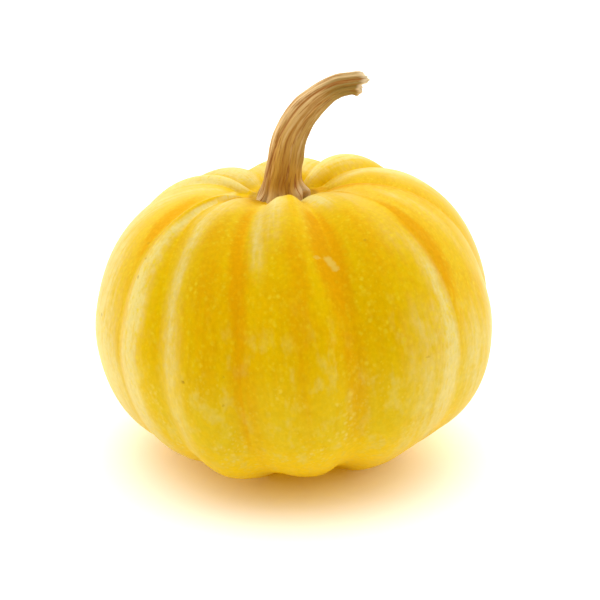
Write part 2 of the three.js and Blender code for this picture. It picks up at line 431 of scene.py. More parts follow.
# Cream marks the pale stripes. Where it spreads over the crests near the crown, it is partly a painted
# highlight.
CREAM_AND_HIGHLIGHT_BANDS = {
    "front": [
        [(0.13, -0.8, 0.25, 0), (0.19, -0.8, 0.26, 0.35), (0.24, -0.8, 0.25, 0.5), (0.28, -0.74, 0.22, 0.5),
         (0.32, -0.7, 0.18, 0.45), (0.345, -0.66, 0.14, 0.15), (0.37, -0.62, 0.08, 0)],
        [(0.1, -0.3, 0.5, 0.5), (0.17, -0.3, 0.5, 0.7), (0.2, -0.3, 0.5, 0.62), (0.24, -0.35, 0.45, 0.45),
         (0.28, -0.4, 0.35, 0.3), (0.32, -0.4, 0.3, 0)],
    ],
    "front_right": [
        [(0.28, 0.72, 0.16, 0), (0.34, 0.7, 0.2, 0.4), (0.39, 0.72, 0.22, 0.55), (0.43, 0.7, 0.3, 0.7),
         (0.48, 0.73, 0.28, 0.95), (0.55, 0.71, 0.3, 1), (0.6, 0.6, 0.35, 0.7), (0.66, 0.45, 0.4, 0.3),
         (0.72, 0.4, 0.4, 0)],
        [(0.38, 0.15, 0.25, 0), (0.43, 0.2, 0.35, 0.35), (0.5, 0.2, 0.4, 0.4), (0.58, 0.15, 0.45, 0.4),
         (0.66, 0, 0.5, 0.3), (0.72, 0, 0.5, 0)],
        [(0.02, -0.5, 0.3, 0.5), (0.1, -0.5, 0.25, 0.9), (0.16, -0.55, 0.3, 0.9), (0.2, -0.45, 0.4, 0.65),
         (0.23, -0.4, 0.4, 0.2), (0.26, -0.4, 0.4, 0)],
        [(0.16, 0.5, 0.7, 0), (0.2, 0.5, 0.7, 0.35), (0.25, 0.4, 0.4, 0.2), (0.32, 0.4, 0.35, 0.3),
         (0.37, 0.4, 0.3, 0)],
    ],
    "right": [
        [(0.2, -0.3, 0.2, 0), (0.245, -0.15, 0.25, 0.45), (0.28, -0.05, 0.25, 0.45), (0.34, 0.1, 0.3, 0.35),
         (0.42, 0.3, 0.3, 0.35), (0.5, 0.2, 0.3, 0)],
        [(0.42, -0.4, 0.5, 0), (0.47, -0.5, 0.5, 0.35), (0.52, -0.5, 0.55, 0.5), (0.57, -0.4, 0.6, 0.6),
         (0.62, -0.4, 0.4, 0.4), (0.68, -0.4, 0.4, 0)],
        [(0.3, 0.5, 0.4, 0), (0.36, 0.55, 0.4, 0.25), (0.41, 0.65, 0.45, 0.3), (0.46, 0.7, 0.55, 0.9),
         (0.55, 0.4, 0.7, 0.9), (0.64, 0.2, 0.6, 0.4), (0.7, 0.2, 0.6, 0)],
    ],
    "right_back": [
        [(0.08, -0.3, 0.4, 0), (0.12, -0.2, 0.4, 0.35), (0.16, -0.1, 0.35, 0.45), (0.2, 0.2, 0.4, 0.6),
         (0.24, 0.2, 0.65, 0.9), (0.3, 0, 0.6, 0.75), (0.36, -0.2, 0.6, 0.7), (0.45, -0.3, 0.6, 0.9),
         (0.55, 0, 0.5, 0.8), (0.66, 0.1, 0.4, 0)],
    ],
    "back_right": [
        [(0.02, 0, 0.6, 0.3), (0.08, -0.1, 0.5, 0.65), (0.14, -0.1, 0.6, 0.9), (0.2, 0, 0.7, 1),
         (0.26, -0.1, 0.5, 0.8), (0.36, -0.35, 0.25, 0.7), (0.5, -0.3, 0.3, 0.8), (0.66, -0.2, 0.4, 0)],
    ],
    "back": [
        [(0.1, 0, 1.2, 0), (0.15, 0, 1.2, 0.8), (0.22, 0, 1.2, 0.9), (0.28, 0, 0.8, 0)],
        [(0.22, -0.5, 0.15, 0), (0.34, -0.52, 0.14, 0.6), (0.5, -0.45, 0.2, 0.7), (0.64, -0.4, 0.3, 0)],
    ],
    "back_left": [
        [(0.05, 0, 0.8, 0.15), (0.12, 0, 1, 0.58), (0.2, 0, 1, 0.95), (0.26, 0.1, 0.6, 0.8),
         (0.32, 0.3, 0.25, 0.7), (0.46, 0.35, 0.25, 0.9), (0.58, 0.3, 0.3, 0.7), (0.68, 0.2, 0.4, 0)],
    ],
    "left_back": [
        [(0.04, 0.1, 0.8, 0.4), (0.1, 0.1, 0.8, 0.9), (0.19, 0.2, 0.9, 1), (0.26, 0.4, 0.7, 1),
         (0.32, 0.4, 0.5, 0.8), (0.38, 0.2, 0.35, 0.6), (0.54, 0.3, 0.35, 0.8), (0.66, 0.3, 0.4, 0)],
    ],
    "left": [
        [(0.07, -1, 0.4, 0), (0.09, -0.6, 0.5, 0.8), (0.11, 0, 0.45, 0.8), (0.14, 0.5, 0.35, 0.8),
         (0.17, 0.9, 0.3, 0.8), (0.2, 1.05, 0.2, 0.4), (0.22, 1.1, 0.2, 0)],
        [(0.08, -0.7, 0.6, 0), (0.14, -0.6, 0.7, 0.4), (0.22, -0.5, 0.7, 0.5), (0.28, -0.4, 0.7, 0.75),
         (0.34, -0.2, 0.6, 1), (0.5, 0, 0.6, 1), (0.6, 0.1, 0.5, 1), (0.66, 0, 0.5, 0)],
        [(0.28, 0, 0.5, 0), (0.34, 0.15, 0.5, 0.65), (0.42, 0.35, 0.5, 0.8), (0.5, 0.5, 0.45, 0.95),
         (0.56, 0.6, 0.4, 1), (0.62, 0.7, 0.4, 0.5), (0.68, 0.7, 0.4, 0)],
    ],
    "left_front": [
        [(0.09, 0.2, 0.5, 0.1), (0.13, 0.3, 0.5, 0.5), (0.17, 0.6, 0.35, 0.65), (0.2, 0.76, 0.28, 0.85),
         (0.26, 0.62, 0.3, 0.65), (0.3, 0.2, 0.45, 0.75), (0.35, -0.1, 0.5, 0.95),
         (0.42, -0.15, 0.46, 0.95), (0.5, -0.25, 0.5, 0.95), (0.56, -0.35, 0.5, 0.95),
         (0.62, -0.1, 0.7, 0.55), (0.7, 0, 0.7, 0)],
    ],
    "front_left": [
        [(0.14, -0.5, 0.8, 0), (0.18, -0.3, 0.9, 0.5), (0.21, -0.3, 0.8, 0.5), (0.24, -0.45, 0.5, 0.5),
         (0.28, -0.4, 0.28, 0.6), (0.32, -0.5, 0.24, 0.5), (0.36, -0.62, 0.25, 0.55),
         (0.4, -0.68, 0.26, 0.55), (0.44, -0.66, 0.3, 0.6), (0.5, -0.6, 0.3, 0.5), (0.56, -0.6, 0.3, 0.4),
         (0.62, -0.5, 0.3, 0.3), (0.68, -0.5, 0.3, 0)],
    ],
}

# Painted light and shade: where the skin is painted lighter or darker than elsewhere to stand in for light
# and shade, as bands like those above, with the change as their strength.
PAINTED_LIGHT_BANDS = {
    "right_back": [
        [(0.08, -0.4, 0.3, 0), (0.11, -0.5, 0.35, 0.1), (0.17, -0.8, 0.4, 0.1), (0.22, -0.8, 0.4, 0)],
    ],
    "back_right": [
        [(0.03, -0.2, 0.7, 0.05), (0.08, -0.5, 0.7, 0.26), (0.14, -0.5, 0.7, 0.22), (0.2, -0.6, 0.6, 0.06),
         (0.26, -0.6, 0.6, 0)],
    ],
    "left_back": [
        [(0.03, 0.8, 0.5, 0.08), (0.08, 0.7, 0.5, 0.18), (0.14, 0.7, 0.5, 0.15), (0.2, 0.8, 0.4, 0)],
        [(0.2, 0.4, 0.8, 0), (0.26, 0.4, 0.8, 0.06), (0.33, 0.4, 0.8, 0)],
    ],
    "left": [
        [(0.42, 0, 0.5, 0), (0.48, 0.1, 0.5, 0.08), (0.56, 0.3, 0.45, 0.12), (0.62, 0.4, 0.4, 0)],
    ],
    "left_front": [
        [(0.09, 0.8, 0.6, 0.14), (0.12, 0.7, 0.7, 0.3), (0.17, 0.7, 0.6, 0.24), (0.21, 0.8, 0.5, 0.15),
         (0.28, 1, 0.4, 0)],
        [(0.32, 0.3, 0.5, 0), (0.42, 0.3, 0.5, 0.07), (0.56, 0.3, 0.5, 0.07), (0.65, 0.3, 0.5, 0)],
    ],
    "front_left": [
        [(0.15, -0.9, 0.25, 0), (0.17, -0.9, 0.25, 0.14), (0.2, -0.9, 0.25, 0)],
    ],
}
PAINTED_SHADE_BANDS = {
    "front": [
        [(0.17, -0.8, 1, 0), (0.22, -0.8, 1.1, 0.14), (0.28, -0.8, 1.2, 0.13), (0.33, -0.8, 1.2, 0.05),
         (0.38, -0.8, 1.2, 0)],
        [(0.08, 0.1, 0.4, 0), (0.12, 0.1, 0.4, 0.18), (0.155, 0.1, 0.4, 0.12), (0.18, 0.1, 0.4, 0)],
        [(0.2, 1, 0.6, 0), (0.24, 1, 0.7, 0.1), (0.31, 1, 0.7, 0.09), (0.37, 1, 0.6, 0)],
    ],
    "front_right": [
        [(0.58, 0.7, 0.4, 0), (0.63, 0.7, 0.4, 0.06), (0.66, 0.7, 0.4, 0.14), (0.74, 0.7, 0.4, 0)],
        [(0.1, 0.4, 0.5, 0), (0.14, 0.5, 0.5, 0.24), (0.18, 0.4, 0.7, 0.12), (0.25, 0, 1.3, 0.05),
         (0.4, 0, 1.3, 0.04), (0.5, 0, 1.3, 0.02), (0.6, 0, 1.3, 0)],
    ],
    "right": [
        [(0.61, -0.4, 0.7, 0), (0.65, -0.4, 0.7, 0.14), (0.74, -0.4, 0.7, 0)],
        [(0.1, -0.9, 0.4, 0), (0.15, -0.9, 0.4, 0.1), (0.2, -0.9, 0.4, 0.04), (0.3, -1, 0.4, 0.07),
         (0.36, -1, 0.4, 0.06), (0.42, -1, 0.4, 0)],
    ],
    "right_back": [
        [(0.03, 0.8, 0.4, 0.16), (0.08, 0.7, 0.4, 0.08), (0.12, 0.7, 0.5, 0.1), (0.17, 0.7, 0.5, 0.12),
         (0.21, 0.9, 0.4, 0.06), (0.25, 0.9, 0.4, 0)],
    ],
    "back_right": [
        [(0.02, 0.7, 0.6, 0.14), (0.06, 0.5, 0.5, 0.12), (0.17, 0.4, 0.5, 0.11), (0.22, 0.4, 0.5, 0.05),
         (0.28, 0.4, 0.5, 0)],
    ],
    "back_left": [
        [(0.02, 0, 0.8, 0.1), (0.06, -0.2, 0.8, 0.14), (0.1, -0.2, 0.9, 0.1), (0.16, -0.1, 1, 0.07),
         (0.24, 0, 1, 0.05), (0.3, 0, 1, 0)],
    ],
    "left_front": [
        [(0.19, -0.6, 0.6, 0), (0.24, -0.5, 0.7, 0.11), (0.31, -0.7, 0.5, 0.1), (0.4, -0.8, 0.4, 0)],
    ],
    "front_left": [
        [(0.06, 0.5, 0.5, 0), (0.1, 0.45, 0.5, 0.46), (0.12, 0.45, 0.5, 0.45), (0.145, 0.5, 0.5, 0.38),
         (0.17, 0.7, 0.4, 0.15), (0.2, 0.8, 0.4, 0)],
        [(0.1, 0, 1, 0), (0.14, 0.1, 1, 0.16), (0.2, 0.3, 1.3, 0.07), (0.24, 0, 1.5, 0.11),
         (0.3, -0.4, 1, 0.11), (0.35, -0.5, 0.8, 0.09), (0.44, -0.5, 0.6, 0.03), (0.52, -0.5, 0.6, 0)],
    ],
}

# Small marks: (rib, across, share, radius, stretch down the rib, colour's name, strength). A radius is in mm.
MARKS = [
    ("front", 0.84, 0.322, 1.5, 1.1, "scar", 0.9),
    ("front", 0.89, 0.329, 1.5, 1.1, "scar", 0.9),
    ("front", 0.94, 0.336, 1.4, 1.1, "scar", 0.9),
    ("front", 0.6, 0.32, 1, 0.8, "scar", 0.6),
    ("front_left", -0.23, 0.5, 0.5, 1, "speck", 0.85),
    ("front_right", 0.14, 0.5, 1.1, 0.35, "speck", 0.4),
    ("front_right", -0.3, 0.31, 0.8, 1, "speck", 0.5),
    ("left_front", -0.4, 0.335, 0.8, 0.6, "speck", 0.7),
    ("left", 0.43, 0.445, 1.1, 0.4, "speck", 0.5),
    ("left", 0.93, 0.312, 0.8, 0.8, "speck", 0.4),
    ("left_front", -0.37, 0.362, 0.7, 1, "speck", 0.7),
    ("front_left", 0.63, 0.485, 0.5, 1, "speck", 0.35),
    ("front_left", 0.57, 0.537, 0.5, 1, "speck", 0.4),
    ("right_back", 0.47, 0.105, 0.8, 0.8, "speck", 0.9),
    ("back_right", -0.8, 0.035, 0.5, 0.8, "speck", 0.5),
    ("right_back", 0, 0.05, 0.5, 0.8, "speck", 0.6),
    ("back", 0.3, 0.42, 1.4, 1.2, "scar", 0.9),
    ("back_right", 0.1, 0.5, 0.5, 1, "speck", 0.9),
    ("back_left", -0.2, 0.33, 0.6, 1.2, "speck", 0.8),
    ("right_back", 0.4, 0.4, 0.8, 0.5, "speck", 0.6),
    ("left_back", 0.4, 0.55, 0.9, 1.5, "scar", 0.6),
]


def banded(bands, name, across, share):
    """How strongly the bands colour each point of a rib, from 0 to 1."""
    total = np.zeros_like(share)
    for line in bands.get(name, []):
        shares, middles, widths, strengths = zip(*line)
        middle = np.interp(share, shares, middles)
        width = np.interp(share, shares, widths)
        strength = np.interp(share, shares, strengths, left=0, right=0)
        total = np.maximum(total, strength * np.exp(-(((across - middle) / width) ** 2)))
    return total


def rib_skin(name, across, share):
    """A rib's points, what its skin is like at each of them, and the light and shade painted on it."""
    points, azimuth = skin_points(name, across, share)
    orange_and_shade = banded(ORANGE_AND_SHADE_BANDS, name, across, share)
    cream_and_highlight = banded(CREAM_AND_HIGHLIGHT_BANDS, name, across, share)
    # The painted light (above zero) and painted shade (below zero) at each point.
    painted_light_and_shade = banded(PAINTED_LIGHT_BANDS, name, across, share) - banded(PAINTED_SHADE_BANDS, name, across, share)
    return dict(points=points, azimuth=azimuth, share=share, orange_and_shade=orange_and_shade, cream_and_highlight=cream_and_highlight, painted_light_and_shade=painted_light_and_shade)


def skin_rows():
    """The rows of points down the skin: each one's share, radius and distance down the skin."""
    shares = np.linspace(0, 1, SKIN_ROWS)
    outline = spline(PROFILE, shares)
    return shares, outline[:, 0], distances(outline)


def fruit_mesh():
    """The fruit's points, faces and fields, and how far it was moved to stand over the origin."""
    shares, radii, arcs = skin_rows()
    across, share = np.meshgrid(np.linspace(-1, 1, RIB_COLUMNS + 1)[:-1], shares)
    ribs = [rib_skin(name, across, share) for name in NAMES]
    fields = {key: np.concatenate([rib[key] for rib in ribs], axis=1) for key in ribs[0]}
    body = fields.pop("points").reshape(-1, 3)
    points = np.vstack([body, on_axis(PROFILE[0][1]), on_axis(PROFILE[-1][1])])
    low, high = points.min(0), points.max(0)
    shift = np.array([-(low[0] + high[0]) / 2, -(low[1] + high[1]) / 2, 0])

    azimuth = fields.pop("azimuth")
    fields["skin"] = wrapped(radii[:, None], azimuth, arcs[:, None])
    fields["streak"] = wrapped(STREAK_RADIUS, azimuth, arcs[:, None])
    return points + shift, closed_faces(*azimuth.shape), with_ends(fields), shift


fruit_points, fruit_faces, fruit_fields, fruit_shift = fruit_mesh()
fruit = mesh_object("pumpkin_fruit", fruit_points, fruit_faces, fruit_fields)

GOLD = (0.615, 0.393, 0)
DEEP_GOLD = (0.605, 0.353, 0)
ORANGE_AND_SHADE = (0.6, 0.285, 0)
CREAM_AND_HIGHLIGHT = (0.635, 0.515, 0.16)
PALE = (0.595, 0.43, 0.012)
BLOTCH = (0.61, 0.47, 0.075)
FOOT_GOLD = (0.78, 0.52, 0)
FLECK = (0.65, 0.47, 0.015)
PALE_FLECK = (0.65, 0.52, 0.1)
SEAT_BROWN = (0.27, 0.15, 0.01)
MARK_COLOURS = {"scar": (0.58, 0.385, 0.055), "speck": (0.35, 0.2, 0.01)}

# Where the colours change, as shares down the skin.
LOW_PART = (0.44, 0.6)
FOOT_PART = (0.58, 0.68)
BLOTCHES_START = (0.34, 0.52)
BLOTCHES_END = (0.61, 0.67)
SEAT_RING = (0.042, 0.018)
BLOSSOM_SCAR = (0.975, 0.995)

# A dot is full up to the first of these shares of its cell, and gone at the second. A mark is full up to
# MARK_CORE of its radius.
DOT_EDGE = (0.1, 0.5)
MARK_CORE = 0.3

SKIN_ROUGHNESS = (0.36, 0.46)
ORANGE_ROUGHER = 0.3
SKIN_IOR = 1.12
SKIN_GLOSS_TINT = (1, 0.75, 0.1, 1)


def dots(tree, vector, size):
    """Round soft dots, one for each cell of about the size, each with a random strength."""
    cells = add(tree, "ShaderNodeTexVoronoi", {"Vector": vector, "Scale": 1 / size}).outputs
    strength = add(tree, "ShaderNodeSeparateColor", {0: cells["Color"]}).outputs[0]
    core, edge = DOT_EDGE
    return times(tree, ranged(tree, cells["Distance"], edge, core), strength)


def ragged(tree, mask, amount, line, mottle):
    """A mask broken up by the streaks and mottles."""
    waver = linear(tree, line, amount, 1 - amount)
    waver = linear(tree, mottle, amount, waver)
    return ranged(tree, times(tree, mask, waver), 0, 0.95)


def ground_colour(tree, skin, share, cloud, mottle, line):
    """Gold with deeper clouds and streaks, paler low down, with blotches on the lower half."""
    depth = linear(tree, cloud, 0.5, times(tree, mottle, 0.5))
    depth = linear(tree, line, 0.5, depth)
    colour = mixed(tree, ranged(tree, depth, 0.58, 0.9), GOLD, DEEP_GOLD)
    paleness = times(tree, ranged(tree, share, *LOW_PART), ranged(tree, mottle, 0.3, 0.65, 0.35, 1))
    colour = mixed(tree, paleness, colour, PALE)
    colour = mixed(tree, ranged(tree, share, *FOOT_PART), colour, FOOT_GOLD)
    blotch = noise(tree, skin, size=3.6, stretch=1.8, detail=3, roughness=0.55)
    blotches = times(tree, ranged(tree, blotch, 0.5, 0.74), ranged(tree, share, *BLOTCHES_START, 0, 0.75))
    blotches = times(tree, blotches, ranged(tree, share, *BLOTCHES_END, 1, 0.25))
    return mixed(tree, blotches, colour, BLOTCH)


def flecked(tree, skin, share, cloud, orange_and_shade, colour):
    """The colour with pale flecks on it, in clusters, and few on the orange bands and their painted shade."""
    uneven = stretched(tree, wavering(tree, skin, size=0.9, amount=0.9), 1.3)
    coarse = times(tree, dots(tree, uneven, size=1.5), ranged(tree, cloud, 0.3, 0.6, 0.35, 1))
    fine = times(tree, dots(tree, uneven, size=0.85), 0.6)
    flecks = math_node(tree, "MAXIMUM", coarse, fine)
    flecks = times(tree, flecks, linear(tree, orange_and_shade, -0.6, 0.9))
    pale_patches = times(tree, ranged(tree, share, *LOW_PART), ranged(tree, cloud, 0.35, 0.65))
    return mixed(tree, flecks, colour, mixed(tree, pale_patches, FLECK, PALE_FLECK))


def skin_place(name, across, share):
    """The skin coordinates at one point of a rib."""
    shares, radii, arcs = skin_rows()
    azimuth = skin_points(name, across, share)[1]
    return tuple(wrapped(np.interp(share, shares, radii), azimuth, np.interp(share, shares, arcs)))


def marked(tree, skin, colour):
    """The colour with the small marks on it."""
    uneven = wavering(tree, skin, size=1, amount=1.2)
    for name, across, share, radius, stretch, kind, strength in MARKS:
        offset = vector_node(tree, "SUBTRACT", uneven, skin_place(name, across, share))
        inputs = {0: stretched(tree, offset, stretch)}
        reach = add(tree, "ShaderNodeVectorMath", inputs, operation="LENGTH").outputs["Value"]
        amount = ranged(tree, reach, radius, radius * MARK_CORE, 0, strength)
        colour = mixed(tree, amount, colour, MARK_COLOURS[kind])
    return colour


def skin_material():
    material, tree, shader = new_material("pumpkin_skin")
    skin = attribute(tree, "skin", "Vector")
    share = attribute(tree, "share")
    cloud = noise(tree, skin, size=8, stretch=1.6, detail=3)
    mottle = noise(tree, skin, size=2.4, stretch=1.5, detail=4, roughness=0.6)
    fine_mottle = noise(tree, skin, size=1.1, stretch=1.3, detail=3, roughness=0.6)
    grain = noise(tree, skin, size=0.6)
    line = noise(tree, attribute(tree, "streak", "Vector"), size=1.6, stretch=10, detail=3)

    orange_and_shade = ragged(tree, attribute(tree, "orange_and_shade"), 1, line, mottle)
    cream_and_highlight = ragged(tree, attribute(tree, "cream_and_highlight"), 2, line, mottle)
    colour = ground_colour(tree, skin, share, cloud, mottle, line)
    # Orange in the furrows, with painted shade in orange over the crown near the stem.
    colour = mixed(tree, orange_and_shade, colour, ORANGE_AND_SHADE)
    # The pale stripes in cream, with a painted highlight on the crests near the crown.
    colour = mixed(tree, cream_and_highlight, colour, CREAM_AND_HIGHLIGHT)
    colour = flecked(tree, skin, share, cloud, orange_and_shade, colour)
    speckle = ranged(tree, fine_mottle, 0.25, 0.75, 0.95, 1.05)
    # The painted light and shade brighten and darken the colour here, along with a fine random speckle.
    colour = scaled(tree, colour, math_node(tree, "ADD", attribute(tree, "painted_light_and_shade"), speckle))
    colour = marked(tree, skin, colour)
    uneven_share = linear(tree, mottle, 0.02, share)
    seat = ranged(tree, uneven_share, *SEAT_RING, 0, 0.5)
    scar = ranged(tree, uneven_share, *BLOSSOM_SCAR, 0, 0.8)
    colour = mixed(tree, math_node(tree, "MAXIMUM", seat, scar), colour, SEAT_BROWN)
    tree.links.new(colour, shader.inputs["Base Color"])

    roughness = linear(tree, orange_and_shade, ORANGE_ROUGHER, ranged(tree, mottle, 0.3, 0.7, *SKIN_ROUGHNESS))
    tree.links.new(roughness, shader.inputs["Roughness"])
    relief = linear(tree, grain, 0.3, mottle)
    bump(tree, shader, relief, strength=0.3, distance=0.1 * MM)
    shader.inputs["IOR"].default_value = SKIN_IOR
    shader.inputs["Specular Tint"].default_value = SKIN_GLOSS_TINT
    return material


fruit.data.materials.append(skin_material())
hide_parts("fruit")
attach(fruit, "root")

# ---- The stem ----

STEM_SIDES = 216
STEM_ROWS = 190
GRAIN_RADIUS = 4

# The ridges run between grooves. At the foot each groove is at (angle, strength, half width), in degrees.
# Angle 0 is the outer side of the bend, 90 the back, 180 the inner side and 270 the front.
GROOVES = [
    (25, 0.7, 6), (62, 0.9, 7), (100, 0.6, 6), (138, 0.9, 7), (176, 0.7, 6),
    (213, 0.8, 6), (257, 0.9, 5), (282, 1, 6), (319, 0.4, 6), (352, 0.4, 5),
]
GROOVE_DEPTH = 0.045
GROOVE_STRENGTH = 0.75
RIDGE_BULGE = 0.025
TWIST = -18
TWIST_GROWTH = 1.4

# Ridges on the outer side of the bend that are painted paler than the rest, partly their own paler colour and
# partly a painted highlight where the light falls on them, each as (angle, half width).
PALE_AND_LIT_RIDGES = [(336, 9), (6, 14)]

# The seam's angle at shares of the stem's length. The inner side of the bend is painted darker olive, partly
# its own colour and partly painted shade on the underside of the bend. It is at (angle, half width), and
# comes in between two lengths along the stem.
SEAM = [(0, 350), (0.2, 330), (0.45, 312), (1, 312)]
SEAM_WIDTH = 5
SEAM_DEPTH = 0.04
SHADED_INNER_SIDE = (205, 40)
SHADED_INNER_START = (5, 14)

# The foot spreads where it grips the fruit: a little all round, more on the ridges and less in the grooves.
# It has knuckles, each given as (angle, height, reach, half width in degrees, half height). The knob is the
# greyest of them.
FLARE = 1.9
FLARE_HEIGHT = 2.2
FLARE_ROUND = 0.45
FLARE_ON_RIDGES = 0.75
FLARE_IN_GROOVES = 0.3
KNOB = (200, 2.5, 1.8, 28, 2.2)
KNUCKLES = [
    (338, 0.6, 1.4, 20, 1.3), KNOB, (228, 1.8, 0.5, 11, 1.4), (300, 1.2, 0.6, 9, 1.2),
    (20, 1.8, 1, 14, 1.3), (75, 1.4, 1.3, 16, 1.4), (120, 2, 1.1, 15, 1.2), (160, 1.5, 1, 13, 1.2),
]

# The broken tip: how far it reaches past the stem's end at each (angle, reach), the fine teeth of its edge as
# (height, number around, phase), and a spur on its lower lip, given like a knuckle but from the tip down.
TIP_EDGE = [
    (0, 0), (50, 0.9), (90, -0.5), (130, 0.4), (180, -0.9), (200, -0.2), (225, 0.3), (250, -0.3),
    (264, 0.1), (277, 1.3), (292, 2), (310, 1.5), (330, 0.6), (360, 0),
]
TIP_TEETH = [(0.12, 17, 1), (0.09, 29, 0), (0.06, 47, 2)]
TIP_REACH = 3.5
TIP_FLARE = 0.2
TIP_FLARE_LENGTH = 2.5
SPUR = (196, 0.8, 0.4, 14, 0.7)
LIP_LENGTH = 2
RIM_LENGTH = 0.6
RIM_ROUNDING = 0.25

# The hollow in the tip. Its rows run from the edge over the rim, down the wall and over the bottom, and the
# shares are of those rows.
HOLLOW_ROWS = 14
HOLLOW_DEPTH = 2.4
HOLLOW_CURVE = 1.6
WALL = 0.75
RIM_HEIGHT = 0.2
RIM_SHARE = 0.35
BOTTOM_SHARE = 0.6
BOTTOM_NARROWING = 0.8
INSIDE_SHARES = (0.1, 0.6)

CURVE_STEPS = 60
LINE_POINTS = 400


def through(points, count):
    """Evenly spaced points of a centripetal Catmull-Rom curve, and their distances along it."""
    points = np.asarray(points, float)
    every = np.vstack([2 * points[0] - points[1], points, 2 * points[-1] - points[-2]])
    pieces = []
    for a, b, c, d in zip(every, every[1:], every[2:], every[3:]):
        first, middle, last = (math.sqrt(np.linalg.norm(q - p)) for p, q in ((a, b), (b, c), (c, d)))
        start = ((b - a) / first - (c - a) / (first + middle) + (c - b) / middle) * middle
        end = ((c - b) / middle - (d - b) / (middle + last) + (d - c) / last) * middle
        u = np.linspace(0, 1, CURVE_STEPS)[:-1, None]
        cubic = 2 * b - 2 * c + start + end
        square = -3 * b + 3 * c - 2 * start - end
        pieces.append(b + start * u + square * u**2 + cubic * u**3)
    line = np.vstack(pieces + [points[-1:]])
    lengths = distances(line)
    places = np.linspace(0, lengths[-1], count)
    return np.stack([np.interp(places, lengths, line[:, axis]) for axis in range(2)], -1), places


def turned(angle, middle):
    """The angle from the middle, in degrees from -180 to 180."""
    return (angle - middle + 180) % 360 - 180


def bell(angle, middle, width):
    """1 at the middle angle, and fading to both sides."""
    return np.exp(-((turned(angle, middle) / width) ** 2))


def ridges(angle):
    """The grooves' strength and the ridges' bulge at each angle, both from 0 to 1."""
    starts = np.array([groove[0] for groove in GROOVES] + [GROOVES[0][0] + 360], float)
    place = (angle - starts[0]) % 360 + starts[0]
    step = np.clip(np.searchsorted(starts, place, side="right") - 1, 0, len(GROOVES) - 1)
    between = (place - starts[step]) / (starts[step + 1] - starts[step]) * 2 - 1
    groove = np.zeros_like(place)
    for middle, strength, width in GROOVES:
        groove = np.maximum(groove, strength * bell(angle, middle, width))
    return groove, 1 - between**2


def lump(angle, height, shape):
    """How far a knuckle, or another such lump, stands out."""
    middle, level, reach, width, tall = shape
    return reach * np.exp(-((turned(angle, middle) / width) ** 2) - ((height - level) / tall) ** 2)


def around(angle, length, stretch=1):
    """Points on a plain tube, where noise follows the stem's grain."""
    return wrapped(GRAIN_RADIUS, np.radians(angle), length / stretch)


def broken_edge(angle):
    """How far the tip reaches past the stem's end."""
    edge = np.interp(angle, *zip(*TIP_EDGE))
    for height, count, phase in TIP_TEETH:
        edge = edge + height * np.sin(count * np.radians(angle) + phase)
    return edge


def stem_outside():
    """Rings of the outer surface: angle, length along the stem and reach from its line, with its fields."""
    steps = np.linspace(0, STEM_LENGTH, STEM_ROWS)[:, None]
    share = steps / STEM_LENGTH
    angle = np.broadcast_to(np.arange(STEM_SIDES)[None] * 360 / STEM_SIDES, (STEM_ROWS, STEM_SIDES))
    length = steps + broken_edge(angle) * smoothstep(steps, STEM_LENGTH - TIP_REACH, STEM_LENGTH)
    own = angle - TWIST * share**TWIST_GROWTH + waves(around(angle, length), size=7, height=1, seed=4)
    groove, bulge = ridges(own)
    groove = groove * (GROOVE_STRENGTH + waves(around(angle, length, stretch=3), size=5, height=0.3, seed=7))
    seam = bell(own, np.interp(share, *zip(*SEAM)), SEAM_WIDTH)

    radius = spline(STEM_RADII, share[:, 0])
    reach = radius * (1 + RIDGE_BULGE * bulge - GROOVE_DEPTH * groove)
    reach = reach + TIP_FLARE * smoothstep(steps, STEM_LENGTH - TIP_FLARE_LENGTH, STEM_LENGTH)
    spread = FLARE_ROUND + FLARE_ON_RIDGES * bulge - FLARE_IN_GROOVES * groove
    reach = reach + FLARE * np.exp(-length / FLARE_HEIGHT) * spread
    for knuckle in KNUCKLES:
        reach = reach + lump(angle, length, knuckle)
    reach = reach + lump(angle, STEM_LENGTH - steps, SPUR)
    reach = reach + waves(around(own, length, stretch=5), size=0.8, height=0.04, seed=5)
    reach = reach + waves(around(own, length, stretch=3), size=2.4, height=0.03, seed=6)
    reach = reach - RIM_ROUNDING * smoothstep(steps, STEM_LENGTH - RIM_LENGTH, STEM_LENGTH)
    reach = reach - radius * SEAM_DEPTH * seam

    # The pale ridges, partly a painted highlight on the outer side of the bend.
    pale_and_lit = sum(bell(own, middle, width) for middle, width in PALE_AND_LIT_RIDGES)
    lip = np.broadcast_to(smoothstep(steps, STEM_LENGTH - LIP_LENGTH, STEM_LENGTH), angle.shape)
    # Painted shade on the inner side of the bend, which also has some olive colour of its own.
    inner = bell(angle, *SHADED_INNER_SIDE) * smoothstep(length, *SHADED_INNER_START)
    knob = np.minimum(lump(angle, length, KNOB), 1)
    fields = dict(groove=groove, seam=seam, pale_and_lit=pale_and_lit, lip=lip, inner=inner, knob=knob)
    return angle, length, reach, own, fields


def with_hollow(angle, length, reach, own, fields):
    """The rings of the outer surface, and after them those of the hollow in the tip."""
    inward = np.linspace(0, 1, HOLLOW_ROWS + 1)[1:, None]
    over_rim = np.minimum(inward / RIM_SHARE, 1)
    narrow = 1 - BOTTOM_NARROWING * smoothstep(inward, BOTTOM_SHARE, 1)
    walls = (reach[-1:] - WALL * smoothstep(inward, 0, RIM_SHARE)) * narrow
    depths = length[-1:] + RIM_HEIGHT * np.sin(np.pi * over_rim) - HOLLOW_DEPTH * inward**HOLLOW_CURVE
    inside = np.broadcast_to(smoothstep(inward, *INSIDE_SHARES), walls.shape)

    def repeated(values):
        return np.vstack([values, np.broadcast_to(values[-1:], walls.shape)])

    fields = {key: repeated(values) for key, values in fields.items()}
    fields["inside"] = np.vstack([np.zeros_like(reach), inside])
    return repeated(angle), np.vstack([length, depths]), np.vstack([reach, walls]), repeated(own), fields


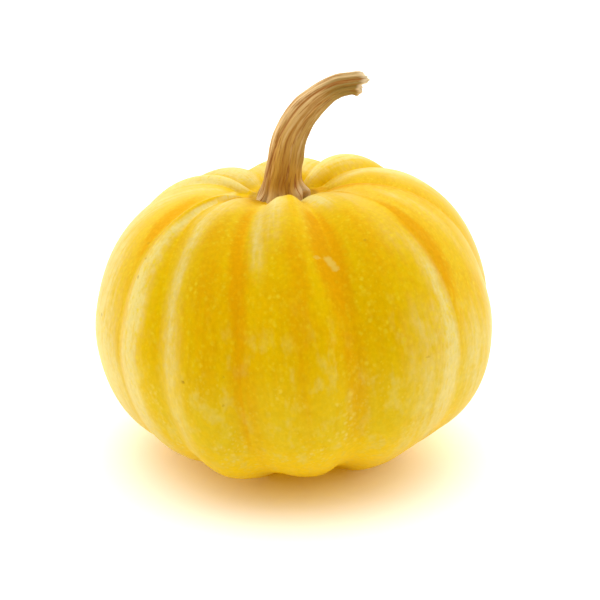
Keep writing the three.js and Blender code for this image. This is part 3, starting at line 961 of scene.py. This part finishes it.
def stem_mesh(shift):
    """The stem's points, faces and fields, with its foot on the seat of the shifted fruit."""
    angle, length, reach, own, fields = with_hollow(*stem_outside())
    line, places = through(STEM_LINE, LINE_POINTS)
    direction = np.gradient(line, axis=0)
    direction /= np.linalg.norm(direction, axis=1)[:, None]

    def along(values):
        return np.interp(length, places, values)

    turns = np.radians(angle)
    side = reach * np.cos(turns)
    right = along(line[:, 0]) - side * along(direction[:, 1])
    back = reach * np.sin(turns)
    up = along(line[:, 1]) + side * along(direction[:, 0])
    rings = np.stack([right, back, up], -1)
    ends = rings[[0, -1]].mean(axis=1)
    right, back, up = np.vstack([rings.reshape(-1, 3), ends]).T
    x = right * math.cos(LEAN) - up * math.sin(LEAN)
    z = right * math.sin(LEAN) + up * math.cos(LEAN)
    points = np.stack([x, back, z], -1) + on_axis(PROFILE[0][1]) + shift

    fields["grain"] = around(own, length)
    return points, closed_faces(*angle.shape), with_ends(fields)


stem_points, stem_faces, stem_fields = stem_mesh(fruit_shift)
stem = mesh_object("pumpkin_stem", stem_points, stem_faces, stem_fields)

LOW_TAN = (0.6, 0.33, 0.045)
HIGH_TAN = (0.58, 0.37, 0.13)
GROOVE_BROWN = (0.36, 0.145, 0.015)
RED_BROWN = (0.3, 0.1, 0.012)
PALE_AND_LIT_BARK = (0.74, 0.53, 0.27)
SHADED_OLIVE = (0.33, 0.22, 0.045)
TIP_OLIVE = (0.245, 0.155, 0.025)
FOOT_GREY = (0.52, 0.36, 0.16)
KNOB_GREY = (0.57, 0.4, 0.2)
PITH = (0.44, 0.31, 0.15)
LIP_CREAM = (0.64, 0.49, 0.28)

# Where the colours change, as lengths along the stem.
TAN_CHANGE = (6, 26)
FOOT_CHANGE = (4.5, 0.5)
TIP_CHANGE = (STEM_LENGTH - 12, STEM_LENGTH - 5)
BARK_ROUGHNESS = (0.7, 0.9)
BARK_GLOSS = 0.25


def ridge_colour(tree, grain, length, fibre, strand):
    """Tan ridges and brown grooves, painted shade in olive on the inner side of the bend, and pale streaks
    and ridges, the ridges partly a painted highlight.
    """
    streaks = linear(tree, strand, 2.6, linear(tree, fibre, 2.2, -2.25))
    dark = linear(tree, attribute(tree, "groove"), 0.6, streaks)
    dark = math_node(tree, "MINIMUM", math_node(tree, "MAXIMUM", dark, 0), 1)
    tan = mixed(tree, ranged(tree, length, *TAN_CHANGE), LOW_TAN, HIGH_TAN)
    colour = mixed(tree, dark, tan, GROOVE_BROWN)
    # Painted shade: the inner side of the bend turns darker olive.
    colour = mixed(tree, times(tree, attribute(tree, "inner"), 0.75), colour, SHADED_OLIVE)
    pale_strand = noise(tree, grain, size=0.9, stretch=12, detail=3, roughness=0.6)
    pale_streaks = times(tree, ranged(tree, pale_strand, 0.52, 0.7), 0.55)
    # Pale streaks, and the pale ridges with their painted highlight.
    pale_and_lit = math_node(tree, "MAXIMUM", pale_streaks, times(tree, attribute(tree, "pale_and_lit"), 0.8))
    pale_and_lit = times(tree, pale_and_lit, math_node(tree, "SUBTRACT", 1, dark))
    return mixed(tree, pale_and_lit, colour, PALE_AND_LIT_BARK)


def foot_and_tip_colour(tree, length, blotch, colour):
    """The colour turned greyer at the foot and its knob, and olive towards the tip."""
    foot = times(tree, ranged(tree, length, *FOOT_CHANGE), ranged(tree, blotch, 0.35, 0.6, 0.2, 0.9))
    colour = mixed(tree, foot, colour, FOOT_GREY)
    knob = times(tree, attribute(tree, "knob"), ranged(tree, blotch, 0.35, 0.6, 0.5, 1))
    colour = mixed(tree, knob, colour, KNOB_GREY)
    off_ridge = linear(tree, attribute(tree, "pale_and_lit"), -0.6, 0.8)
    return mixed(tree, times(tree, ranged(tree, length, *TIP_CHANGE), off_ridge), colour, TIP_OLIVE)


def bark_material():
    material, tree, shader = new_material("stem_bark")
    grain = attribute(tree, "grain", "Vector")
    length = add(tree, "ShaderNodeSeparateXYZ", {0: grain}).outputs["Z"]
    fibre = noise(tree, grain, size=0.5, stretch=14, detail=3, roughness=0.65)
    strand = noise(tree, grain, size=1.2, stretch=11, detail=3, roughness=0.6)
    crack = noise(tree, grain, size=0.45, stretch=16)
    blotch = noise(tree, grain, size=2, stretch=2.5, detail=3, roughness=0.6)

    colour = ridge_colour(tree, grain, length, fibre, strand)
    colour = foot_and_tip_colour(tree, length, blotch, colour)
    cracks = times(tree, ranged(tree, crack, 0.54, 0.64), ranged(tree, blotch, 0.4, 0.6, 0.35, 0.9))
    seam = times(tree, attribute(tree, "seam"), ranged(tree, strand, 0.3, 0.55, 0.55, 1))
    colour = mixed(tree, math_node(tree, "MAXIMUM", cracks, seam), colour, RED_BROWN)
    torn = math_node(tree, "SUBTRACT", fibre, 0.5)
    lip = linear(tree, torn, 1.2, attribute(tree, "lip"))
    colour = mixed(tree, ranged(tree, lip, 0.1, 0.9), colour, LIP_CREAM)
    colour = mixed(tree, attribute(tree, "inside"), colour, PITH)
    tree.links.new(colour, shader.inputs["Base Color"])

    tree.links.new(ranged(tree, strand, 0.3, 0.7, *BARK_ROUGHNESS), shader.inputs["Roughness"])
    relief = linear(tree, blotch, 0.5, fibre)
    bump(tree, shader, relief, strength=0.7, distance=0.3 * MM)
    shader.inputs["Specular IOR Level"].default_value = BARK_GLOSS
    return material


stem.data.materials.append(bark_material())
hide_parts("stem")
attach(stem, "root")

# ---- Floor, light and camera ----

# A white floor, with a faint warm glow in place of the yellow light that the photo's ground sends back.
FLOOR_HALF = 3000
FLOOR_WHITE = (0.97, 0.97, 0.97, 1)
FLOOR_GLOW = (1, 0.5, 0, 1)
FLOOR_GLOW_STRENGTH = 0.18


def make_floor():
    corners = [(x * FLOOR_HALF, y * FLOOR_HALF, 0) for x, y in ((-1, -1), (1, -1), (1, 1), (-1, 1))]
    floor = mesh_object("floor", corners, [(0, 1, 2, 3)])
    material, _, shader = new_material("floor_white")
    shader.inputs["Base Color"].default_value = FLOOR_WHITE
    shader.inputs["Roughness"].default_value = 0.9
    shader.inputs["Specular IOR Level"].default_value = 0
    shader.inputs["Emission Color"].default_value = FLOOR_GLOW
    shader.inputs["Emission Strength"].default_value = FLOOR_GLOW_STRENGTH
    floor.data.materials.append(material)
    return floor


floor = make_floor()

# How bright the surround is: dim in front and near the floor, bright from the sides on, and brightest
# overhead. FRONT_RANGE is of a direction's Y, and the other ranges are of its Z. The camera sees plain white.
LIGHT_ROUND = 1.67
LIGHT_TOP = 1.28
FRONT_RANGE = (-0.97, 0.1)
RISE_RANGE = (-0.05, 0.45)
RISE_SHARES = (0.35, 1.2)
TOP_RANGE = (0.7, 1)
WHITE = (1, 1, 1, 1)


def studio_world():
    """A light tent that is open in front."""
    world = bpy.data.worlds.new("studio")
    world.use_nodes = True
    tree = world.node_tree
    tree.nodes.clear()
    direction = add(tree, "ShaderNodeTexCoord").outputs["Generated"]
    axes = add(tree, "ShaderNodeSeparateXYZ", {0: direction}).outputs
    walls = ranged(tree, axes["Y"], *FRONT_RANGE, 0, LIGHT_ROUND)
    walls = times(tree, walls, ranged(tree, axes["Z"], *RISE_RANGE, *RISE_SHARES))
    top = ranged(tree, axes["Z"], *TOP_RANGE, 0, LIGHT_TOP)
    strength = math_node(tree, "ADD", walls, top)
    light = add(tree, "ShaderNodeBackground", {"Color": WHITE, "Strength": strength})
    plain = add(tree, "ShaderNodeBackground", {"Color": WHITE, "Strength": 1})
    seen = add(tree, "ShaderNodeLightPath").outputs["Is Camera Ray"]
    both = add(tree, "ShaderNodeMixShader", {0: seen, 1: light.outputs[0], 2: plain.outputs[0]})
    output = add(tree, "ShaderNodeOutputWorld")
    tree.links.new(both.outputs[0], output.inputs[0])
    bpy.context.scene.world = world


studio_world()
bpy.context.scene.view_settings.view_transform = "Standard"

CAMERA_PLACE = Vector((3.4, -345.8, 158.5))
CAMERA_AIM = Vector((2.14, 2.07, 38.3))
CAMERA_LENS = 85.67


def make_camera():
    data = bpy.data.cameras.new("camera")
    data.lens = CAMERA_LENS
    camera = bpy.data.objects.new("camera", data)
    camera.location = CAMERA_PLACE * MM
    camera.rotation_mode = "QUATERNION"
    camera.rotation_quaternion = (CAMERA_AIM - CAMERA_PLACE).to_track_quat("-Z", "Y")
    bpy.context.collection.objects.link(camera)
    bpy.context.scene.camera = camera


make_camera()
